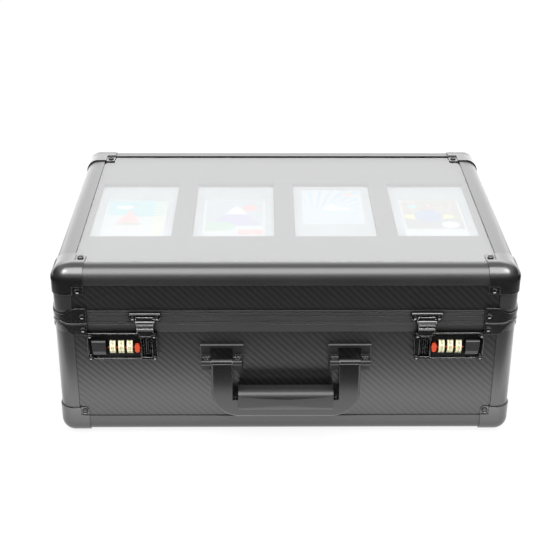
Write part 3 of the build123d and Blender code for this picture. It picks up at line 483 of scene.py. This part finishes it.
def slope(tree, place, direction):
    """Distance along a direction on the card."""
    return vector_maths(tree, "DOT_PRODUCT", place, (*direction, 0))


def beyond(tree, place, direction, limit):
    """1 past a straight line across the card."""
    return maths(tree, "GREATER_THAN", slope(tree, place, direction), limit)


def both(tree, first, second):
    """1 where two masks are 1."""
    return maths(tree, "MULTIPLY", first, second)


def stripes(tree, value, pitch, share):
    """1 in a share of each stretch of the given length."""
    part = maths(tree, "FRACT", maths(tree, "DIVIDE", value, pitch))
    return maths(tree, "LESS_THAN", part, share)


def paint(tree, under, mask, colour):
    """Colour laid over what is under it, inside the mask."""
    return mixed(tree, mask, under, colour)


def peak(tree, place, foot, half_width, top):
    """1 inside a triangle that stands on a line across the card."""
    steep = (top - foot[1]) / half_width
    left = beyond(tree, place, (steep, -1), steep * foot[0] - top)
    right = beyond(tree, place, (-steep, -1), -steep * foot[0] - top)
    return both(tree, both(tree, left, right), beyond(tree, place, (0, 1), foot[1]))


def sail_picture(tree, place, ground):
    """Boat on a pale sea, with a striped mast of colour beside it."""
    colour = paint(tree, ground, beyond(tree, place, (0.1, 1), 0.004), (0.42, 0.70, 0.72))
    colour = paint(tree, colour, disc(tree, place, (-0.012, 0.026), (0.009, 0.005)), (0.94, 0.94, 0.93))
    colour = paint(tree, colour, peak(tree, place, (-0.006, -0.012), 0.011, 0.020), (0.90, 0.50, 0.48))
    colour = paint(tree, colour, disc(tree, place, (-0.006, -0.016), (0.014, 0.004)), (0.60, 0.54, 0.48))
    steps = stripes(tree, slope(tree, place, (0, 1)), 0.007, 0.5)
    mast = both(tree, beyond(tree, place, (1, 0), 0.019), steps)
    return paint(tree, colour, mast, (0.84, 0.80, 0.54))


def mountain_picture(tree, place, ground):
    """Snowy peak over violet hills, with a red sun."""
    colour = paint(tree, ground, beyond(tree, place, (0, 1), -0.020), (0.56, 0.60, 0.64))
    colour = paint(tree, colour, disc(tree, place, (0.016, 0.024), (0.008, 0.008)), (0.90, 0.46, 0.42))
    colour = paint(tree, colour, peak(tree, place, (0.002, -0.020), 0.026, 0.030), (0.54, 0.48, 0.68))
    colour = paint(tree, colour, peak(tree, place, (0.002, 0.008), 0.0115, 0.030), (0.95, 0.95, 0.95))
    colour = paint(tree, colour, disc(tree, place, (-0.018, -0.022), (0.020, 0.012)), (0.48, 0.66, 0.54))
    low = both(tree, beyond(tree, place, (0, -1), 0.030), beyond(tree, place, (1, 0), 0.004))
    return paint(tree, colour, low, (0.90, 0.50, 0.50))


def ray_picture(tree, place, ground):
    """Rays round a pale gem."""
    around = tree.nodes.new("ShaderNodeTexGradient")
    around.gradient_type = "RADIAL"
    from_corner = vector_maths(tree, "SUBTRACT", place, (-0.020, -0.030, 0))
    tree.links.new(from_corner, around.inputs["Vector"])
    rays = stripes(tree, around.outputs["Fac"], 1 / ray_count, 0.45)
    colour = paint(tree, ground, rays, (0.52, 0.70, 0.84))
    upper = beyond(tree, place, (1, 1), 0.004)
    gem = both(tree, peak(tree, place, (0.004, -0.004), 0.013, 0.018), upper)
    colour = paint(tree, colour, peak(tree, place, (0.004, -0.010), 0.015, 0.020), (0.96, 0.96, 0.96))
    colour = paint(tree, colour, gem, (0.68, 0.78, 0.88))
    return paint(tree, colour, disc(tree, place, (0.018, 0.032), (0.006, 0.005)), (0.92, 0.62, 0.60))


def planet_picture(tree, place, ground):
    """Ringed planet over warm dust."""
    dust = maths(tree, "GREATER_THAN", noise(tree, place, 260, 2), 0.56)
    colour = paint(tree, ground, beyond(tree, place, (0, 1), -0.028), (0.50, 0.49, 0.46))
    colour = paint(tree, colour, both(tree, dust, beyond(tree, place, (0, 1), 0.0)), (0.88, 0.64, 0.56))
    colour = paint(tree, colour, disc(tree, place, (-0.004, 0.002), (0.026, 0.008)), (0.92, 0.86, 0.46))
    colour = paint(tree, colour, disc(tree, place, (-0.004, 0.004), (0.015, 0.016)), (0.42, 0.46, 0.62))
    colour = paint(tree, colour, disc(tree, place, (0.016, -0.018), (0.009, 0.008)), (0.94, 0.92, 0.90))
    return paint(tree, colour, disc(tree, place, (-0.018, 0.028), (0.005, 0.005)), (0.48, 0.78, 0.78))


def card_print(name, picture, middle):
    """Glossy card with a pale border round its picture."""
    made, tree, shader, _ = new_material(name)
    place = card_place(tree, middle)
    speckle = noise(tree, place, 900, 3)
    ground = ramp(tree, speckle, [(0.2, (0.74, 0.74, 0.73)), (0.8, (0.80, 0.79, 0.77))])
    drawn = picture(tree, place, ground)
    within = []
    for direction, half in zip(((1, 0), (0, 1)), printed_half):
        opposite = (-direction[0], -direction[1])
        low, high = (beyond(tree, place, way, -half) for way in (direction, opposite))
        within.append(both(tree, low, high))
    inside = both(tree, *within)
    tree.links.new(mixed(tree, inside, ground, drawn), shader.inputs["Base Color"])
    tree.links.new(between(tree, speckle, 0.25, 0.4), shader.inputs["Roughness"])
    return made


holder_xs = [(index - (holder_count - 1) / 2) * holder_pitch for index in range(holder_count)]
pictures = (sail_picture, mountain_picture, ray_picture, planet_picture)
card_looks = []
for index, (picture, x) in enumerate(zip(pictures, holder_xs)):
    card_y = case_y + (card_shift if index == turned_holder else -card_shift)
    card_looks.append(card_print(f"card_{index + 1}", picture, (x, card_y)))

looks = {
    "base_bottom_rails": rail_black,
    "base_corner_posts": rail_black,
    "lid_top_rails": rail_black,
    "lid_corner_posts": rail_black,
    "base_rim_rails": rim_black,
    "lid_rim_rails": rim_black,
    "base_corner_caps": cap_black,
    "lid_corner_caps": cap_black,
    "base_rim_corners": cap_black,
    "lid_rim_corners": cap_black,
    "base_rivets": rivet_black,
    "lid_rivets": rivet_black,
    "base_feet": foot_rubber,
    "base_floor_board": boards["level"],
    "base_front_board": boards["front"],
    "base_rear_board": boards["front"],
    "base_left_board": boards["side"],
    "base_right_board": boards["side"],
    "lid_front_board": boards["front"],
    "lid_rear_board": boards["front"],
    "lid_left_board": boards["side"],
    "lid_right_board": boards["side"],
    "window_pane": window_clear,
    "holder_backs": holder_back_clear,
    "holder_covers": holder_cover_clear,
    "hasp_mounts": hasp_black,
    "hasp_pins": pin_steel,
    "handle_pins": pin_steel,
    "hinge_pins": pin_steel,
    "lock_axles": pin_steel,
    "hinge_base_leaves": cap_black,
    "hinge_lid_leaves": cap_black,
    "bracket_screws": screw_black,
    "grip_screws": screw_black,
    "handle_frame": handle_black,
    "handle_grip": grip_black,
}
for side in sides:
    looks[f"lock_{side}"] = lock_black
    looks[f"hasp_{side}"] = hasp_black
    looks[f"release_button_{side}"] = satin_black
    looks[f"handle_bracket_{side}"] = satin_black
    looks[f"change_lever_{side}"] = lever_red
    for index in range(wheels_per_lock):
        looks[f"number_wheel_{index + 1}_{side}"] = wheel_cream

for name, look in looks.items():
    mesh = nodes[name].data
    mesh.materials.clear()
    mesh.materials.append(look)
card_mesh = nodes["display_cards"].data
card_mesh.materials.clear()
for look in card_looks:
    card_mesh.materials.append(look)
for polygon in card_mesh.polygons:
    distances = [abs(polygon.center.x - x) for x in holder_xs]
    polygon.material_index = distances.index(min(distances))


def add_piece(name, build, look):
    """Object made from a finished mesh, with its material."""
    mesh = bpy.data.meshes.new(name)
    build.to_mesh(mesh)
    build.free()
    mesh.materials.append(look)
    piece = bpy.data.objects.new(name, mesh)
    bpy.context.scene.collection.objects.link(piece)
    return piece


# Rivet heads


def islands(mesh):
    """Lists of the corner points of each separate solid in a mesh."""
    build = bmesh.new()
    build.from_mesh(mesh)
    bmesh.ops.remove_doubles(build, verts=build.verts, dist=weld_reach)
    waiting = set(build.verts)
    groups = []
    for first in build.verts:
        if first not in waiting:
            continue
        waiting.remove(first)
        reached = [first]
        for vertex in reached:
            linked = [edge.other_vert(vertex) for edge in vertex.link_edges]
            fresh = [other for other in linked if other in waiting]
            waiting.difference_update(fresh)
            reached.extend(fresh)
        groups.append([vertex.co.copy() for vertex in reached])
    build.free()
    return groups


def head_place(points):
    """Foot point, outward direction, radius and height of a plain rivet head."""
    low = Vector([min(point[axis] for point in points) for axis in range(3)])
    high = Vector([max(point[axis] for point in points) for axis in range(3)])
    size = high - low
    middle = (high + low) / 2
    thin = list(size).index(min(size))

    def spread(level):
        near = [point for point in points if abs(point[thin] - level) < level_tolerance]
        return max((point - middle).length for point in near)

    direction = Vector((0, 0, 0))
    outward = 1 if spread(low[thin]) > spread(high[thin]) else -1
    direction[thin] = outward
    foot = middle - direction * size[thin] / 2
    return foot, direction, max(size) / 2, size[thin]


def add_head(build, foot, direction, radius, height):
    """Round head with a pressed hollow, on its foot point."""
    turn = direction.to_track_quat("Z", "Y").to_matrix()
    middle = build.verts.new(foot + turn @ Vector((0, 0, height * head_outline[0][1])))
    rings = []
    for out, level in head_outline[1:]:
        row = []
        for segment in range(head_segments):
            around = 2 * math.pi * segment / head_segments
            across = radius * out
            point = Vector((across * math.cos(around), across * math.sin(around), height * level))
            row.append(build.verts.new(foot + turn @ point))
        rings.append(row)
    for segment in range(head_segments):
        beside = (segment + 1) % head_segments
        build.faces.new((middle, rings[0][segment], rings[0][beside])).smooth = True
        for place, (inner, outer) in enumerate(zip(rings, rings[1:])):
            face = build.faces.new((inner[segment], outer[segment], outer[beside], inner[beside]))
            face.smooth = place < head_hollow_rings - 1
    build.faces.new(list(reversed(rings[-1])))


for name, body in (("base_rivets", "base"), ("lid_rivets", "lid")):
    build = bmesh.new()
    for points in islands(nodes[name].data):
        add_head(build, *head_place(points))
    piece = add_piece(f"{name}_pressed", build, rivet_black)
    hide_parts(name)
    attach(piece, body)


# Foam


def soften(source, body, inset, look):
    """Foam piece in a CAD solid's place, with rounded edges."""
    copy = source.data.copy()
    piece = bpy.data.objects.new(source.name + "_foam", copy)
    bpy.context.scene.collection.objects.link(piece)
    build = bmesh.new()
    build.from_mesh(copy)
    bmesh.ops.remove_doubles(build, verts=build.verts, dist=weld_reach)
    bmesh.ops.dissolve_limit(build, angle_limit=nearly_flat, verts=build.verts, edges=build.edges)
    joined = [edge for edge in build.edges if len(edge.link_faces) == 2]
    sharp = [edge for edge in joined if edge.calc_face_angle() > sharp_edge]
    bmesh.ops.bevel(
        build,
        geom=sharp,
        offset=inset,
        segments=foam_edge_segments,
        profile=0.5,
        affect="EDGES",
        clamp_overlap=True,
    )
    build.to_mesh(copy)
    build.free()
    for polygon in copy.polygons:
        polygon.use_smooth = True
    copy.materials.clear()
    copy.materials.append(look)
    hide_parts(source.name)
    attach(piece, body)


for name in ("foam_floor_pad", "foam_row_dividers", "foam_end_strips"):
    soften(nodes[name], "base", foam_edge, foam_dark)
soften(nodes["display_tray"], "lid", tray_edge, tray_grey)


# Digits on the number wheels


def digit_mesh(text, size):
    """Flat mesh of one digit, centred on the origin."""
    curve = bpy.data.curves.new("digit_curve", "FONT")
    curve.body = text
    curve.size = size
    curve.align_x = "CENTER"
    curve.align_y = "CENTER"
    curve.resolution_u = digit_curve_steps
    holder = bpy.data.objects.new("digit_holder", curve)
    bpy.context.scene.collection.objects.link(holder)
    bpy.context.view_layer.update()
    graph = bpy.context.evaluated_depsgraph_get()
    mesh = bpy.data.meshes.new_from_object(holder.evaluated_get(graph))
    bpy.data.objects.remove(holder)
    return mesh


digits = [digit_mesh(str(value), digit_height) for value in range(wheel_faces)]
face_distance = wheel_radius * math.cos(math.pi / wheel_faces) + digit_lift
for side in sides:
    for index in range(wheels_per_lock):
        node = f"number_wheel_{index + 1}_{side}"
        low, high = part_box(node)
        middle = (low + high) / 2
        build = bmesh.new()
        for value, mesh in enumerate(digits):
            angle = 2 * math.pi * value / wheel_faces
            turn = Matrix.Rotation(angle, 4, "X") @ Matrix.Rotation(math.pi / 2, 4, "X")
            start = len(build.verts)
            build.from_mesh(mesh)
            build.verts.ensure_lookup_table()
            place = Matrix.Translation(middle) @ turn @ Matrix.Translation((0, 0, face_distance))
            for vertex in build.verts[start:]:
                vertex.co = place @ vertex.co
        piece = add_piece(f"digits_{index + 1}_{side}", build, digit_ink)
        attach(piece, node)


# Painted index line behind the number wheels

for sign, side in signed_sides:
    build = bmesh.new()
    inner, outer = index_line_reach
    low, high = index_line_height
    corners = ((inner, low), (outer, low), (outer, high), (inner, high))
    front = [build.verts.new((sign * x, field_front - digit_lift, z)) for x, z in corners]
    build.faces.new(front if sign > 0 else list(reversed(front)))
    piece = add_piece(f"index_line_{side}", build, lever_red)
    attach(piece, "base")


# Floor, lights and camera

floor_mesh = bpy.data.meshes.new("floor")
build = bmesh.new()
bmesh.ops.create_grid(build, x_segments=floor_steps, y_segments=floor_steps, size=floor_size)
build.to_mesh(floor_mesh)
build.free()
floor = bpy.data.objects.new("floor", floor_mesh)
bpy.context.scene.collection.objects.link(floor)

floor_look, tree, shader, output = new_material("floor_white")
grain = noise(tree, object_place(tree), 40, 2)
tree.links.new(ramp(tree, grain, [(0, 0.80), (1, 0.84)]), shader.inputs["Base Color"])
shader.inputs["Roughness"].default_value = 0.8
place = parts_of(tree, object_place(tree))
past_case = tree.nodes.new("ShaderNodeCombineXYZ")
for (axis, middle, half), weight in zip(case_spans, (mirrored_floor_sideways, 1.0)):
    from_middle = maths(tree, "ABSOLUTE", maths(tree, "SUBTRACT", place[axis], middle))
    past = maths(tree, "MAXIMUM", maths(tree, "SUBTRACT", from_middle, half), 0.0)
    tree.links.new(maths(tree, "MULTIPLY", past, weight), past_case.inputs[axis])
distance = vector_maths(tree, "LENGTH", past_case.outputs["Vector"])
glow_around_case = ramp(tree, maths(tree, "DIVIDE", distance, mirrored_floor_reach), mirrored_floor)
behind = between(tree, place["Y"], 0.0, 1.0, *floor_behind)
# Painted reflection: glossy rays see the floor glowing, brightest close to the case and behind it
mirrored = tree.nodes.new("ShaderNodeEmission")
tree.links.new(mixed(tree, behind, glow_around_case, 1.0), mirrored.inputs["Color"])
mirrored.inputs["Strength"].default_value = mirrored_floor_level
white = tree.nodes.new("ShaderNodeEmission")
white.inputs["Strength"].default_value = 1.0
rays = tree.nodes.new("ShaderNodeLightPath").outputs
lit = shader.outputs["BSDF"]
seen = mixed_shader(tree, floor_white_share, lit, white.outputs["Emission"])
glossy = mixed_shader(tree, rays["Is Glossy Ray"], lit, mirrored.outputs["Emission"])
shown = mixed_shader(tree, rays["Is Camera Ray"], glossy, seen)
tree.links.new(shown, output.inputs["Surface"])
floor_mesh.materials.append(floor_look)

world = bpy.data.worlds.new("studio")
bpy.context.scene.world = world
world.use_nodes = True
tree = world.node_tree
tree.nodes.clear()
output = tree.nodes.new("ShaderNodeOutputWorld")
coordinates = tree.nodes.new("ShaderNodeTexCoord")
direction = parts_of(tree, coordinates.outputs["Generated"])
front_levels = ramp(tree, direction["Z"], front_wall)
side_levels = ramp(tree, direction["Z"], side_walls)
backdrop_levels = ramp(tree, direction["Z"], backdrop)
toward_side = between(tree, direction["Y"], 0.0, 1.0, *side_wall_directions)
toward_backdrop = between(tree, direction["Y"], 0.0, 1.0, *backdrop_directions)
walls = mixed(tree, toward_side, front_levels, side_levels)
room = tree.nodes.new("ShaderNodeBackground")
tree.links.new(mixed(tree, toward_backdrop, walls, backdrop_levels), room.inputs["Color"])
room.inputs["Strength"].default_value = room_level
background = tree.nodes.new("ShaderNodeBackground")
background.inputs["Color"].default_value = (1, 1, 1, 1)
rays = tree.nodes.new("ShaderNodeLightPath").outputs
shown = mixed_shader(
    tree, rays["Is Camera Ray"], room.outputs["Background"], background.outputs["Background"]
)
tree.links.new(shown, output.inputs["Surface"])


def soft_light(name, place, target, size, radiance):
    """Rectangular light that faces a point and doesn't show itself to the camera."""
    lamp = bpy.data.lights.new(name, "AREA")
    lamp.shape = "RECTANGLE"
    lamp.size, lamp.size_y = size
    lamp.energy = radiance * size[0] * size[1] * math.pi
    made = bpy.data.objects.new(name, lamp)
    made.location = place
    made.rotation_euler = (Vector(target) - Vector(place)).to_track_quat("-Z", "Y").to_euler()
    made.visible_camera = False
    bpy.context.scene.collection.objects.link(made)


soft_light(
    "overhead_box",
    place=(0, -0.94, 1.43),
    target=(0, -0.15, 0.18),
    size=(2.4, 1.02),
    radiance=overhead_level,
)
for sign, side in signed_sides:
    soft_light(
        f"{side}_box",
        place=(sign * 1.03, -0.93, 1.30),
        target=(sign * 0.2, -0.14, 0.17),
        size=(0.45, 0.5),
        radiance=side_box_level,
    )

pitch, yaw, roll = (math.radians(value) for value in camera_degrees)
level_reach = math.cos(pitch)
forward = Vector((-math.sin(yaw) * level_reach, math.cos(yaw) * level_reach, -math.sin(pitch)))
level_right = Vector((math.cos(yaw), math.sin(yaw), 0))
level_up = level_right.cross(forward)
right = level_right * math.cos(roll) + level_up * math.sin(roll)
up = level_up * math.cos(roll) - level_right * math.sin(roll)
lens = bpy.data.cameras.new("camera")
lens.lens = camera_lens
lens.sensor_width = sensor_width
camera = bpy.data.objects.new("camera", lens)
camera.matrix_world = Matrix((*zip(right, up, -forward, camera_place), (0, 0, 0, 1)))
bpy.context.scene.collection.objects.link(camera)
bpy.context.scene.camera = camera
bpy.context.scene.view_settings.view_transform = "Standard"
